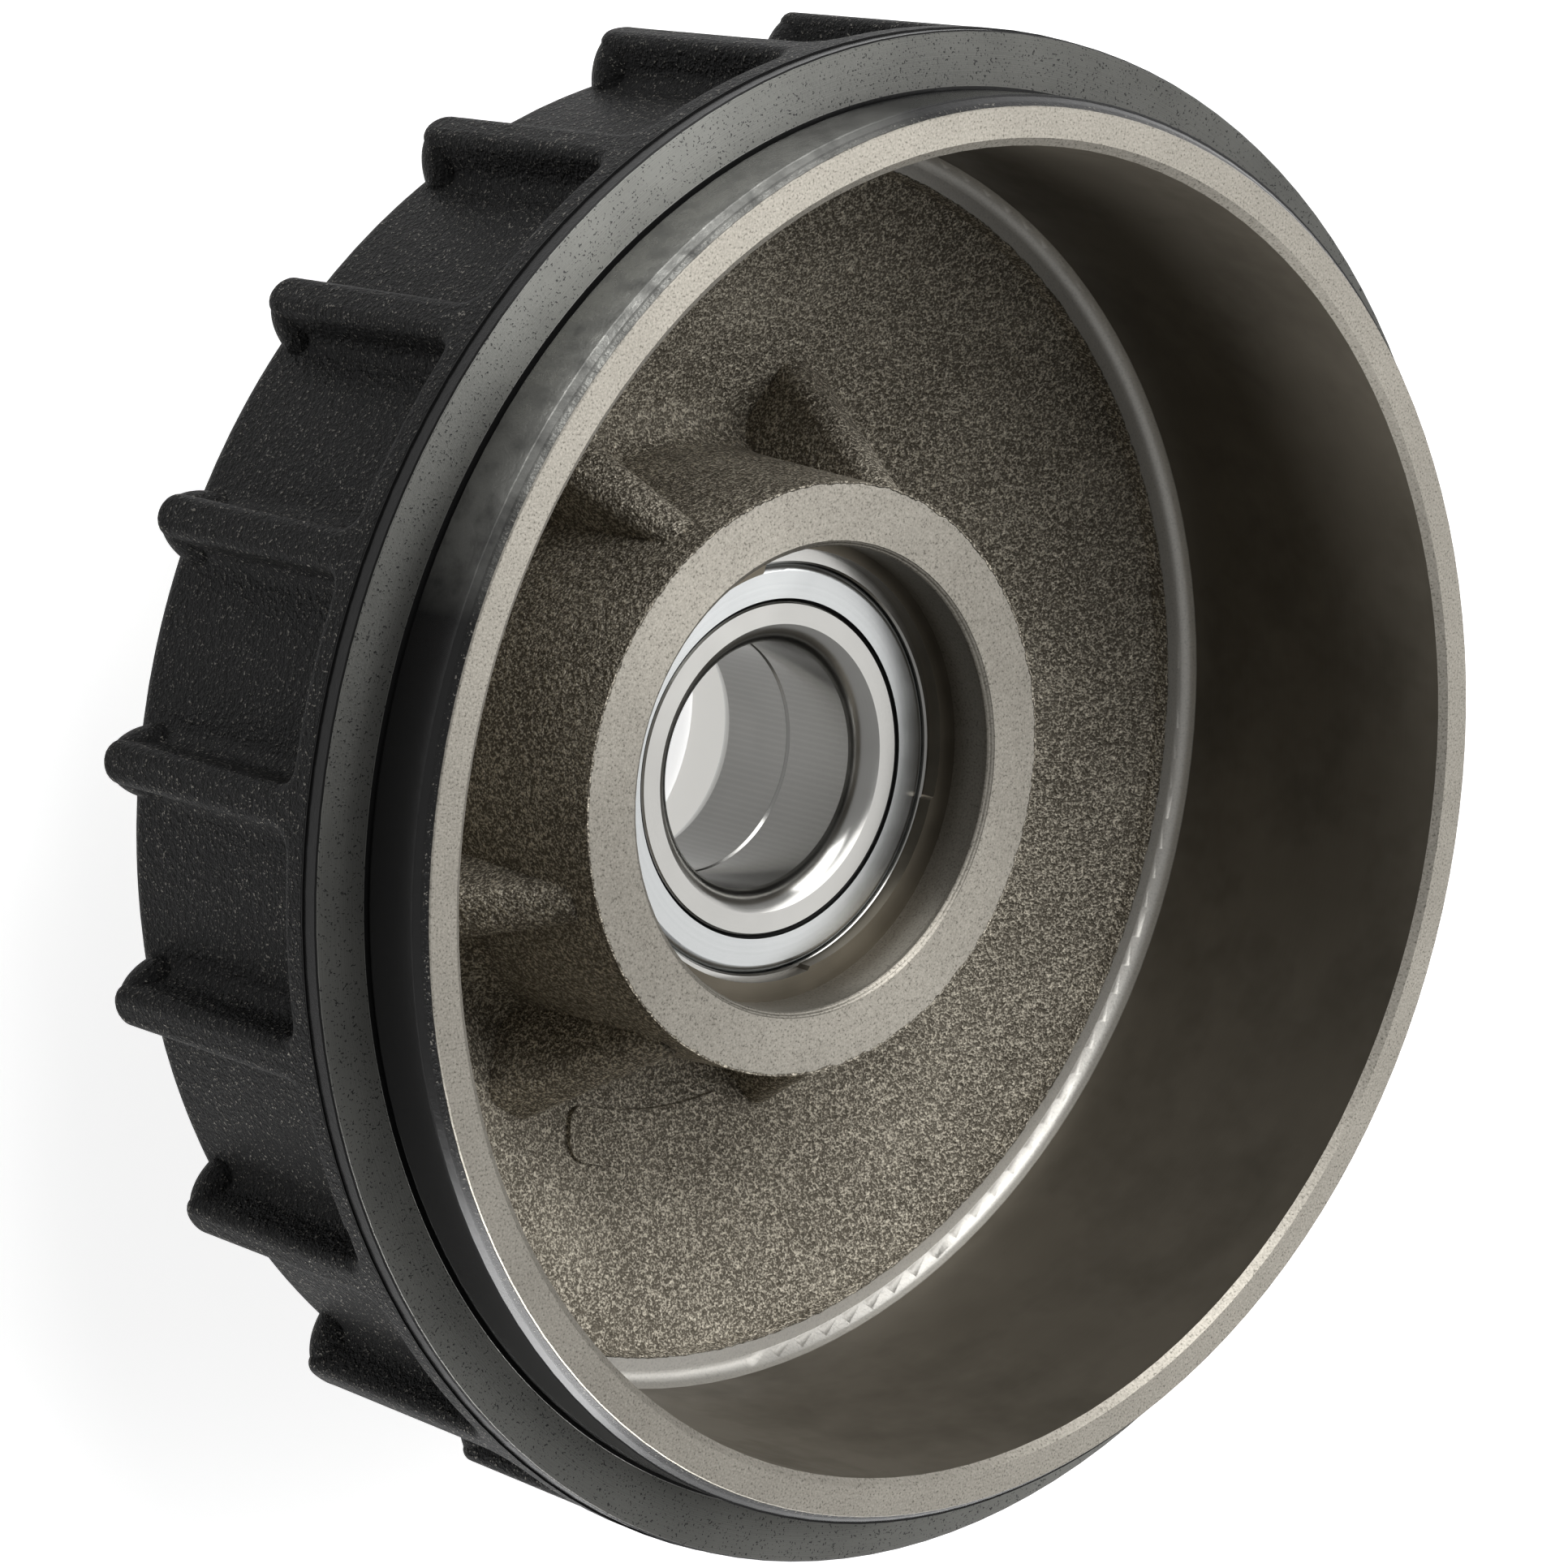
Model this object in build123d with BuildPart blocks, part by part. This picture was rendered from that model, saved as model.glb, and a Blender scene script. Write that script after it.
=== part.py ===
from build123d import *
from math import acos, cos, degrees, radians, sin, tan
import os

# A brake drum for a trailer axle, cast in one piece with its hub, with a double-row wheel bearing
# and its retaining ring fitted. All sizes are millimetres. The origin is on the drum axis at the
# end of the wheel spigot, and +Z points out of the open mouth of the drum.

# Brake band and mouth
mouth_z = 104.0
brake_r = 100.0
mouth_chamfer_r = 101.2
mouth_chamfer_depth = 1.04
rim_outer_r = 105.6
rim_edge_r = 107.1
rim_edge_depth = 2.1
neck_r = 107.35
neck_relief_r = 106.9
neck_relief_height = 0.8

# Flange round the band, turned on its face and on the first part of its side
flange_face_z = 92.0
flange_turned_r = 116.0
flange_turned_depth = 2.7
flange_edge = 0.35
lip_r = 116.3
lip_under_z = 84.4

# Outer wall of the band and its cooling ribs
wall_top_r = 109.2
wall_back_r = 108.4
rib_count = 20
rib_first_angle = 176.96
rib_width = 6.0
rib_draft = 3.0
rib_nose_z = 40.0
rib_overrun = 2.0
rib_root_fillet = 3.2
rib_crest_fillet = 1.9
window_corner_fillet = 3.4
nose_bulb_r = 107.0
nose_bulb_reach = 9.2
nose_bulb_half_width = 5.6
nose_bulb_root_r = 103.5
back_z = 35.5
back_corner_r = 4.5

# Floor of the band and the dished web
floor_z = 46.7
floor_fillet = 2.2
floor_inner_r = 95.5
floor_step_run = 0.6
web_slope = 0.394
web_thickness = 8.6

# Hub inside the drum
hub_face_z = 65.3
hub_face_r = 46.4
hub_base_r = 48.5
hub_base_z = 26.0
hub_base_fillet = 5.0
hub_mouth_r = 36.4
hub_mouth_edge_r = 37.3
hub_mouth_edge_depth = 0.8

# Gussets between the hub and the web, as they stand on the casting
gusset_angles = (24.0, 69.5, 124.0, 202.0, 241.0, 293.0, 338.5)
gusset_top_r = 47.4
gusset_top_z = 60.0
gusset_slope = 1.65
gusset_crest_width = 6.4
gusset_draft = 4.2
gusset_edge_fillet = 3.0

# Plain raised pad on the web
pad_angle = 269.0
pad_arc = 32.0
pad_inner_r = 59.0
pad_outer_r = 67.5
pad_height = 0.9
pad_corner_fillet = 3.0

# Wheel side
wheel_face_z = 10.0
wheel_flange_r = 75.0
wheel_flange_edge = 1.0
wheel_flange_fillet = 3.0
spigot_r = 33.3
spigot_edge = 1.0
spigot_root = 0.5
wheel_bolt_count = 5
wheel_bolt_circle_r = 56.0
wheel_bolt_angle = 90.0
wheel_bolt_core_r = 5.2
wheel_bolt_mouth_r = 5.6
wheel_bolt_depth = 14.0
cap_bore_r = 29.5
cap_bore_edge = 0.8

# Double-row bearing, 39 mm bore, 72 mm outside, 37 mm wide
bearing_r = 36.0
bearing_bore_r = 19.5
bearing_width = 37.0
bearing_low_z = 17.5
ring_edge = 0.9
seat_edge = 0.3
seal_seat_r = 32.4
outer_land_r = 29.4
inner_land_r = 26.3
inner_low_land_r = 22.8
inner_face_drop = 0.4
bore_chamfer_r = 22.8
bore_chamfer_depth = 3.8
bore_chamfer_bulge = 0.75
split_chamfer = 0.45
pitch_r = 27.5
ball_r = 5.16
ball_gap = 0.2
row_offset = 8.5
balls_per_row = 13

# Ball cages
cage_inner_r = 26.75
cage_outer_r = 30.1
cage_ring_end = 6.9
cage_bar_end = 1.5
cage_pocket_gap = 0.15

# Seals, a steel case pressed into the outer ring and a rubber lip bonded to it
seal_sheet = 0.7
seal_case_inner_r = 26.85
seal_shoulder_r = 1.3
seal_case_length = 3.6
seal_face_drop = 0.25
lip_inner_r = 26.36
lip_outer_r = 31.0
lip_root_r = 26.95
lip_lean = 0.9
lip_thickness = 1.2
lip_tip_length = 0.7

# Retaining ring in the hub groove
ring_thickness = 2.5
ring_outer_r = 37.5
groove_r = 37.6
ring_inner_r = 34.06
ring_inner_shift = 1.275
ring_lobe_angle = 316.5
ring_lobe_half_angle = 32.0
ring_lobe_ramp = 3.0
ring_lobe_r = 32.44
ring_lug_half_angle = 34.0
ring_lug_ramp = 4.0
ring_lug_r = 32.0
ring_gap = 7.0
ring_plier_hole_r = 1.25
ring_plier_hole_spacing = 13.0
ring_reach = 12.0

# Heights that follow from the sizes above
bearing_high_z = bearing_low_z + bearing_width
bearing_mid_z = (bearing_low_z + bearing_high_z) / 2
groove_high_z = bearing_high_z + ring_thickness
groove_low_z = bearing_high_z - 0.1
ball_pitch = 360 / balls_per_row
row_turn = ball_pitch / 2


def web_z(r):
    """Height of the dished inner face of the web at a radius."""
    return hub_base_z + web_slope * (r - hub_base_r)


def wall_r(z):
    """Radius of the outer wall between the ribs at a height."""
    return wall_back_r + (wall_top_r - wall_back_r) * (z - rib_nose_z) / (lip_under_z - rib_nose_z)


def radial_plane(angle):
    """A plane through the drum axis, with x outwards at the angle and y up the axis."""
    outward = (cos(radians(angle)), sin(radians(angle)), 0)
    return Plane(origin=(0, 0, 0), x_dir=outward, z_dir=(outward[1], -outward[0], 0))


# One rib with its share of the wall and the flange. The wall runs on past the nose of the rib, so
# that the root fillet goes right round the nose, and is trimmed afterwards. The nose swells into a
# bulb, which runs on into the round back corner of the band.
sector_half_angle = 180 / rib_count
sector_inner_r = 103.0
sector_low_z = 24.0
wall_seat = 2.0
sector_high_z = flange_face_z - flange_turned_depth
rib_foot_width = rib_width + 2 * (lip_r + rib_overrun - sector_inner_r) * tan(radians(rib_draft))
nose_centre_z = rib_nose_z + rib_width / 2
nose_bulb_end_angle = degrees(acos((nose_bulb_root_r - nose_bulb_r) / nose_bulb_reach))
rib_foot_plane = Plane(origin=(sector_inner_r, 0, 0), x_dir=(0, 1, 0), z_dir=(1, 0, 0))
far_seam_plane = Plane(origin=(0, 0, 0), x_dir=(-1, 0, 0), z_dir=(0, 0, 1))

with BuildPart() as rib_sector:
    with BuildSketch(radial_plane(-sector_half_angle)):
        with BuildLine():
            Polyline(
                (sector_inner_r, sector_low_z),
                (wall_r(sector_low_z), sector_low_z),
                (wall_top_r, lip_under_z),
                (lip_r, lip_under_z),
                (lip_r, sector_high_z),
                (sector_inner_r, sector_high_z),
                close=True,
            )
        make_face()
    revolve(axis=Axis.Z, revolution_arc=2 * sector_half_angle)
    with BuildSketch(rib_foot_plane):
        with Locations((0, nose_centre_z)):
            Circle(rib_foot_width / 2)
        with Locations((0, (nose_centre_z + sector_high_z) / 2)):
            Rectangle(rib_foot_width, sector_high_z - nose_centre_z)
    extrude(amount=lip_r + rib_overrun - sector_inner_r, taper=rib_draft)
    with BuildSketch(far_seam_plane):
        Circle(lip_r)
        Circle(sector_inner_r - 2, mode=Mode.SUBTRACT)
    extrude(amount=mouth_z, mode=Mode.INTERSECT)


def on_radius(edge, radius_at, near):
    """Tells whether an edge near the ribs lies on a turned surface, given its radius at a height."""
    spots = [edge @ 0, edge @ 0.5, edge @ 1]
    return all(
        abs((p.X**2 + p.Y**2) ** 0.5 - radius_at(p.Z)) < near and p.Z > rib_nose_z - 2
        for p in spots
    )


with BuildPart() as rib:
    add(rib_sector.part)
    window_corners = rib.edges().filter_by(
        lambda edge: abs(edge.center().Z - lip_under_z) < 0.05
        and edge.geom_type not in (GeomType.CIRCLE, GeomType.LINE)
    )
    fillet(window_corners, radius=window_corner_fillet)
    roots = rib.edges().filter_by(lambda edge: on_radius(edge, wall_r, 0.12))
    fillet(roots, radius=rib_root_fillet)
    crests = rib.edges().filter_by(
        lambda edge: on_radius(edge, lambda z: lip_r, 0.05)
        and (edge @ 0.5).Z < sector_high_z - 1
        and abs((edge @ 0.5).Y) < lip_r * sin(radians(sector_half_angle)) - 0.5
    )
    fillet(crests, radius=rib_crest_fillet)
    with BuildSketch(radial_plane(-sector_half_angle)):
        with BuildLine():
            Polyline(
                (sector_inner_r - 5, rib_nose_z),
                (lip_r + 5, rib_nose_z),
                (lip_r + 5, sector_low_z - 5),
                (sector_inner_r - 5, sector_low_z - 5),
                close=True,
            )
        make_face()
    revolve(axis=Axis.Z, revolution_arc=2 * sector_half_angle, mode=Mode.SUBTRACT)
    with BuildSketch(radial_plane(0)):
        with BuildLine():
            bulb = EllipticalCenterArc(
                (nose_bulb_r, nose_centre_z),
                nose_bulb_reach,
                nose_bulb_half_width,
                start_angle=0,
                arc_size=nose_bulb_end_angle,
            )
            Polyline(bulb @ 1, (nose_bulb_root_r, nose_centre_z), bulb @ 0)
        make_face()
    revolve(axis=Axis((0, 0, nose_centre_z), (1, 0, 0)))

# One gusset between hub and web, standing along the x axis. Its flanks have draft and its crest
# falls in a straight line to the web.
gusset_foot_z = hub_base_z - 4
gusset_toe_r = gusset_top_r + (gusset_top_z - web_z(gusset_top_r)) / gusset_slope
gusset_toe_z = gusset_top_z - gusset_slope * (gusset_toe_r - gusset_top_r)
gusset_inner_r = hub_face_r - 4
gusset_foot_width = gusset_crest_width + 2 * (gusset_top_z - gusset_foot_z) * tan(radians(gusset_draft))

with BuildPart() as gusset:
    with BuildSketch(Plane(origin=(gusset_inner_r, 0, 0), x_dir=(0, 1, 0), z_dir=(1, 0, 0))):
        with BuildLine():
            Polyline(
                (-gusset_foot_width / 2, gusset_foot_z),
                (gusset_foot_width / 2, gusset_foot_z),
                (gusset_crest_width / 2, gusset_top_z),
                (-gusset_crest_width / 2, gusset_top_z),
                close=True,
            )
        make_face()
    extrude(amount=gusset_toe_r - gusset_inner_r)
    with BuildSketch(radial_plane(0)):
        with BuildLine():
            Polyline(
                (gusset_inner_r, gusset_foot_z),
                (gusset_toe_r, gusset_foot_z),
                (gusset_toe_r, gusset_toe_z),
                (gusset_top_r, gusset_top_z),
                (gusset_inner_r, gusset_top_z),
                close=True,
            )
        make_face()
    extrude(amount=gusset_foot_width, both=True, mode=Mode.INTERSECT)
    crest_edges = gusset.edges().filter_by(
        lambda edge: abs((edge @ 0 - edge @ 1).Z) > 5
        and abs((edge @ 0 - edge @ 1).X) > 5
        and (edge @ 0.5).X > gusset_top_r
    )
    fillet(crest_edges, radius=gusset_edge_fillet)

# Plain pad, a raised part ring that follows the dish of the web.
with BuildPart() as pad:
    with BuildSketch(radial_plane(pad_angle - pad_arc / 2)):
        with BuildLine():
            Polyline(
                (pad_inner_r, web_z(pad_inner_r) - 1),
                (pad_outer_r, web_z(pad_outer_r) - 1),
                (pad_outer_r, web_z(pad_outer_r) + pad_height),
                (pad_inner_r, web_z(pad_inner_r) + pad_height),
                close=True,
            )
        make_face()
    revolve(axis=Axis.Z, revolution_arc=pad_arc)
    pad_corners = pad.edges().filter_by(
        lambda edge: edge.length < pad_height + 1.5 and abs((edge @ 0 - edge @ 1).Z) > pad_height
    )
    fillet(pad_corners, radius=pad_corner_fillet)

# The casting. The turned profile runs from the end of the spigot up the outside, over the mouth,
# down the brake surface, in along the web, up the hub and down its bore.
flange_back_z = web_z(wheel_flange_r) - web_thickness
back_face_r = hub_base_r + (back_z - hub_base_z + web_thickness) / web_slope
with BuildPart() as drum_casting:
    with BuildSketch(radial_plane(180 / rib_count)):
        with BuildLine():
            Polyline(
                (cap_bore_r + cap_bore_edge, 0),
                (spigot_r - spigot_edge, 0),
                (spigot_r, spigot_edge),
                (spigot_r, wheel_face_z - spigot_root),
                (spigot_r + spigot_root, wheel_face_z),
                (wheel_flange_r - wheel_flange_edge, wheel_face_z),
                (wheel_flange_r, wheel_face_z + wheel_flange_edge),
                (wheel_flange_r, flange_back_z),
                (back_face_r, back_z),
                (wall_back_r - back_corner_r, back_z),
            )
            RadiusArc(
                (wall_back_r - back_corner_r, back_z),
                (wall_back_r, rib_nose_z),
                -back_corner_r,
            )
            Polyline(
                (wall_back_r, rib_nose_z),
                (sector_inner_r + wall_seat, rib_nose_z),
                (sector_inner_r + wall_seat, sector_high_z),
                (flange_turned_r, sector_high_z),
                (flange_turned_r, flange_face_z - flange_edge),
                (flange_turned_r - flange_edge, flange_face_z),
                (neck_relief_r, flange_face_z),
                (neck_relief_r, flange_face_z + neck_relief_height),
                (neck_r, flange_face_z + neck_relief_height),
                (neck_r, mouth_z - rim_edge_depth),
                (rim_edge_r, mouth_z - rim_edge_depth),
                (rim_outer_r, mouth_z),
                (mouth_chamfer_r, mouth_z),
                (brake_r, mouth_z - mouth_chamfer_depth),
                (brake_r, floor_z + floor_fillet),
            )
            RadiusArc(
                (brake_r, floor_z + floor_fillet),
                (brake_r - floor_fillet, floor_z),
                floor_fillet,
            )
            Polyline(
                (brake_r - floor_fillet, floor_z),
                (floor_inner_r, floor_z),
                (floor_inner_r - floor_step_run, web_z(floor_inner_r - floor_step_run)),
                (hub_base_r, hub_base_z),
                (hub_face_r, hub_face_z),
                (hub_mouth_edge_r, hub_face_z),
                (hub_mouth_r, hub_face_z - hub_mouth_edge_depth),
                (hub_mouth_r, groove_high_z),
                (groove_r, groove_high_z),
                (groove_r, groove_low_z),
                (bearing_r, groove_low_z),
                (bearing_r, bearing_low_z),
                (cap_bore_r, bearing_low_z),
                (cap_bore_r, cap_bore_edge),
                (cap_bore_r + cap_bore_edge, 0),
            )
        turned_profile = make_face()
        hub_root, flange_root = (
            turned_profile.vertices().sort_by_distance((r, z))[0]
            for r, z in ((hub_base_r, hub_base_z), (wheel_flange_r, flange_back_z))
        )
        fillet(hub_root, radius=hub_base_fillet)
        fillet(flange_root, radius=wheel_flange_fillet)
    revolve(axis=Axis.Z)
    with PolarLocations(0, rib_count, start_angle=rib_first_angle):
        add(rib.part)
    for angle in gusset_angles:
        add(gusset.part.rotate(Axis.Z, angle))
    add(pad.part)
    with BuildSketch(Plane.XY.offset(wheel_face_z)):
        with PolarLocations(wheel_bolt_circle_r, wheel_bolt_count, start_angle=wheel_bolt_angle):
            Circle(wheel_bolt_core_r)
    extrude(amount=wheel_bolt_depth, mode=Mode.SUBTRACT)
    bolt_mouths = drum_casting.edges().filter_by(GeomType.CIRCLE).filter_by(
        lambda edge: abs(edge.radius - wheel_bolt_core_r) < 0.01
        and abs(edge.center().Z - wheel_face_z) < 0.01
    )
    chamfer(bolt_mouths, length=wheel_bolt_mouth_r - wheel_bolt_core_r)

# Bearing rings. Half of each profile is drawn from the middle plane of the bearing to its face.
# The raceways are arcs round the ball centres with a little more than the radius of the balls.
race_r = ball_r + ball_gap
half_width = bearing_width / 2
section_plane = Plane(origin=(0, 0, bearing_mid_z), x_dir=(1, 0, 0), z_dir=(0, -1, 0))
mid_plane = Plane.XY.offset(bearing_mid_z)


def race_reach(r):
    """Distance along the axis from a ball centre to the raceway arc at a radius."""
    return (race_r**2 - (r - pitch_r) ** 2) ** 0.5


with BuildPart() as bearing_outer_ring:
    with BuildSketch(section_plane):
        with BuildLine():
            Polyline(
                (bearing_r, 0),
                (outer_land_r, 0),
                (outer_land_r, row_offset - race_reach(outer_land_r)),
            )
            ThreePointArc(
                (outer_land_r, row_offset - race_reach(outer_land_r)),
                (pitch_r + race_r, row_offset),
                (seal_seat_r, row_offset + race_reach(seal_seat_r)),
            )
            Polyline(
                (seal_seat_r, row_offset + race_reach(seal_seat_r)),
                (seal_seat_r, half_width - seat_edge),
                (seal_seat_r + seat_edge, half_width),
                (bearing_r - ring_edge, half_width),
                (bearing_r, half_width - ring_edge),
                (bearing_r, 0),
            )
        make_face()
        mirror(about=Plane.XZ)
    revolve(axis=Axis.Z)

inner_face = half_width - inner_face_drop
chamfer_run = bore_chamfer_r - bearing_bore_r
chamfer_length = (chamfer_run**2 + bore_chamfer_depth**2) ** 0.5
chamfer_crown = (
    bearing_bore_r + chamfer_run / 2 - bore_chamfer_bulge * chamfer_run / chamfer_length,
    inner_face - bore_chamfer_depth / 2 + bore_chamfer_bulge * bore_chamfer_depth / chamfer_length,
)
with BuildPart() as inner_ring_inboard:
    with BuildSketch(section_plane):
        with BuildLine():
            Polyline(
                (bearing_bore_r + split_chamfer, 0),
                (inner_low_land_r, 0),
                (inner_low_land_r, row_offset - race_reach(inner_low_land_r)),
            )
            ThreePointArc(
                (inner_low_land_r, row_offset - race_reach(inner_low_land_r)),
                (pitch_r - race_r, row_offset),
                (inner_land_r, row_offset + race_reach(inner_land_r)),
            )
            Polyline(
                (inner_land_r, row_offset + race_reach(inner_land_r)),
                (inner_land_r, inner_face - seat_edge),
                (inner_land_r - seat_edge, inner_face),
                (bore_chamfer_r, inner_face),
            )
            ThreePointArc(
                (bore_chamfer_r, inner_face),
                chamfer_crown,
                (bearing_bore_r, inner_face - bore_chamfer_depth),
            )
            Polyline(
                (bearing_bore_r, inner_face - bore_chamfer_depth),
                (bearing_bore_r, split_chamfer),
                (bearing_bore_r + split_chamfer, 0),
            )
        make_face()
    revolve(axis=Axis.Z)

with BuildPart() as inner_ring_outboard:
    add(inner_ring_inboard.part.mirror(mid_plane))

# Cages, a ring beside the balls with bars that reach in between them.
with BuildPart() as cage_inboard:
    with BuildSketch(section_plane):
        with BuildLine():
            Polyline(
                (cage_inner_r, row_offset - cage_bar_end),
                (cage_outer_r, row_offset - cage_bar_end),
                (cage_outer_r, row_offset + cage_ring_end),
                (cage_inner_r, row_offset + cage_ring_end),
                close=True,
            )
        make_face()
    revolve(axis=Axis.Z)
    with Locations((0, 0, bearing_mid_z + row_offset)):
        with PolarLocations(pitch_r, balls_per_row):
            Sphere(ball_r + cage_pocket_gap, mode=Mode.SUBTRACT)

with BuildPart() as cage_outboard:
    add(cage_inboard.part.mirror(mid_plane).rotate(Axis.Z, row_turn))

# Seals. The case is pressed from sheet, with a round shoulder, and the lip runs on the inner ring.
case_face = half_width - seal_face_drop
case_back = case_face - seal_sheet
case_wall_r = seal_seat_r - seal_sheet
with BuildPart() as seal_case_inboard:
    with BuildSketch(section_plane):
        with BuildLine():
            Polyline(
                (seal_case_inner_r, case_back),
                (seal_case_inner_r, case_face),
                (seal_seat_r - seal_shoulder_r, case_face),
            )
            RadiusArc(
                (seal_seat_r - seal_shoulder_r, case_face),
                (seal_seat_r, case_face - seal_shoulder_r),
                seal_shoulder_r,
            )
            Polyline(
                (seal_seat_r, case_face - seal_shoulder_r),
                (seal_seat_r, case_face - seal_case_length),
                (case_wall_r, case_face - seal_case_length),
                (case_wall_r, case_face - seal_shoulder_r),
            )
            RadiusArc(
                (case_wall_r, case_face - seal_shoulder_r),
                (seal_seat_r - seal_shoulder_r, case_back),
                seal_sheet - seal_shoulder_r,
            )
            Line((seal_seat_r - seal_shoulder_r, case_back), (seal_case_inner_r, case_back))
        make_face()
    revolve(axis=Axis.Z)

with BuildPart() as seal_case_outboard:
    add(seal_case_inboard.part.mirror(mid_plane))

with BuildPart() as seal_lip_inboard:
    with BuildSketch(section_plane):
        with BuildLine():
            Polyline(
                (lip_root_r, case_back),
                (lip_outer_r, case_back),
                (lip_outer_r, case_back - lip_thickness),
                (lip_root_r + lip_lean, case_back - lip_thickness),
                (lip_inner_r, case_back - lip_thickness - lip_tip_length),
                (lip_inner_r, case_back - lip_thickness),
                close=True,
            )
        make_face()
    revolve(axis=Axis.Z)

with BuildPart() as seal_lip_outboard:
    add(seal_lip_inboard.part.mirror(mid_plane))

# Retaining ring, widest opposite its gap, with a lobe there and two lugs at the ends.
gap_angle = ring_lobe_angle - 180
gap_direction = Vector(cos(radians(gap_angle)), sin(radians(gap_angle)))


def polar(r, angle):
    """A point of a flat sketch from its radius and angle."""
    return (r * cos(radians(angle)), r * sin(radians(angle)))


# Tabs that stand inwards with sloped ends: middle angle, half angle, inner and root radius, slope.
ring_tabs = (
    (ring_lobe_angle, ring_lobe_half_angle, ring_lobe_r, ring_inner_r, ring_lobe_ramp),
    (gap_angle, ring_lug_half_angle, ring_lug_r, ring_outer_r - 1, ring_lug_ramp),
)
with BuildPart() as retaining_ring:
    with BuildSketch(Plane.XY.offset(bearing_high_z)):
        Circle(ring_outer_r)
        with Locations(gap_direction * ring_inner_shift):
            Circle(ring_inner_r, mode=Mode.SUBTRACT)
        for middle, half_angle, inner_r, root_r, ramp in ring_tabs:
            start, stop = middle - half_angle, middle + half_angle
            with BuildLine():
                CenterArc((0, 0), inner_r, start, stop - start)
                Line(polar(inner_r, stop), polar(root_r, stop + ramp))
                CenterArc((0, 0), root_r, start - ramp, stop - start + 2 * ramp)
                Line(polar(root_r, start - ramp), polar(inner_r, start))
            make_face()
        with Locations(Location(polar(ring_inner_r, gap_angle), gap_angle)):
            Rectangle(ring_reach, ring_gap, mode=Mode.SUBTRACT)
            with Locations((0, ring_plier_hole_spacing / 2), (0, -ring_plier_hole_spacing / 2)):
                Circle(ring_plier_hole_r, mode=Mode.SUBTRACT)
    extrude(amount=ring_thickness)

rings_and_seals = {
    "drum_casting": drum_casting,
    "bearing_outer_ring": bearing_outer_ring,
    "inner_ring_inboard": inner_ring_inboard,
    "inner_ring_outboard": inner_ring_outboard,
    "cage_inboard": cage_inboard,
    "cage_outboard": cage_outboard,
    "seal_case_inboard": seal_case_inboard,
    "seal_case_outboard": seal_case_outboard,
    "seal_lip_inboard": seal_lip_inboard,
    "seal_lip_outboard": seal_lip_outboard,
    "retaining_ring": retaining_ring,
}
os.makedirs("parts", exist_ok=True)
for name, piece in rings_and_seals.items():
    piece.part.label = name
    export_step(piece.part, f"parts/{name}.step")

# Balls, one solid each. The two rows stand half a pitch apart.
for row, row_z, first_angle in (
    ("inboard", bearing_mid_z + row_offset, 0),
    ("outboard", bearing_mid_z - row_offset, row_turn),
):
    for index in range(balls_per_row):
        x, y = polar(pitch_r, first_angle + index * ball_pitch)
        with BuildPart() as ball:
            with Locations((x, y, row_z)):
                Sphere(ball_r)
        ball.part.label = f"ball_{row}_{index + 1:02d}"
        export_step(ball.part, f"parts/{ball.part.label}.step")
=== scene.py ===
"""Looks of a trailer brake drum with its fitted wheel bearing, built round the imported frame.

The drum stands on its wheel spigot with the mouth up. The camera looks down into the mouth from
the photograph's viewing angle. Lengths in DrumSizes, the masks and names that end in _mm are
millimetres, all others are metres.
"""

import logging
import math
from dataclasses import dataclass

import bpy
from mathutils import Matrix, Vector


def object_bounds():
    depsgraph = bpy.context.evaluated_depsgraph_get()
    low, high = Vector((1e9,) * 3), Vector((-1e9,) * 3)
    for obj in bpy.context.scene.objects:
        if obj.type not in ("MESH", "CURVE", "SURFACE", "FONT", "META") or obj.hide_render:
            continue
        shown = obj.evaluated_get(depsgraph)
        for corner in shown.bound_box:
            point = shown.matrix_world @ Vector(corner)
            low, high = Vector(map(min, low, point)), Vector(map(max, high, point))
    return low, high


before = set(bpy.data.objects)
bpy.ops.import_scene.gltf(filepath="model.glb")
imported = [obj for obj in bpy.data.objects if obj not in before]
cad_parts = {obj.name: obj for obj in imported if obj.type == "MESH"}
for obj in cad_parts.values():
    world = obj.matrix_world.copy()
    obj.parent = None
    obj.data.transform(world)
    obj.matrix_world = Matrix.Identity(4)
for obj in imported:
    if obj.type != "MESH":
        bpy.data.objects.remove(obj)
cad_bounds = [list(corner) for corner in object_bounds()]

LOG = logging.getLogger("brake_drum")
MM = 0.001
Colour = tuple[float, float, float]
BLACK: Colour = (0.0, 0.0, 0.0)
QUARTER_TURN = 0.25
EDGE_MM = 0.1


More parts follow.
